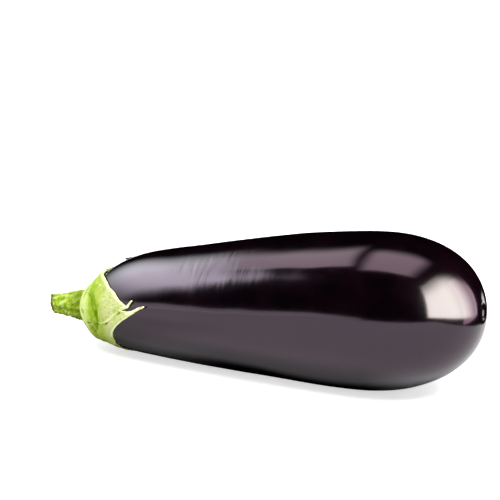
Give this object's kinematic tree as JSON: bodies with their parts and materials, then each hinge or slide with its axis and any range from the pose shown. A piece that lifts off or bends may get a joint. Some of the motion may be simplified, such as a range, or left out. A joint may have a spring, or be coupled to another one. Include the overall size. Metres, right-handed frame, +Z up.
{
  "type": "eggplant",
  "caption": "Smooth dark eggplant lying on its side, with a lobed green calyx over its narrow shoulder and a short cut stem.",
  "frame": {"origin": "on the ground, under the middle of the whole eggplant's bounding box", "axes": "+X from the cut stem to the blossom end, +Z up from the surface that the eggplant lies on"},
  "size_m": [0.2342, 0.078, 0.0789],
  "materials": {
    "skin": "glossy purple-black skin",
    "calyx": "matte, leathery and yellow-green",
    "stem": "matte, fibrous and green"
  },
  "bodies": {
    "root": {"fruit": "skin", "calyx": "calyx", "stem": "stem"}
  },
  "joints": []
}
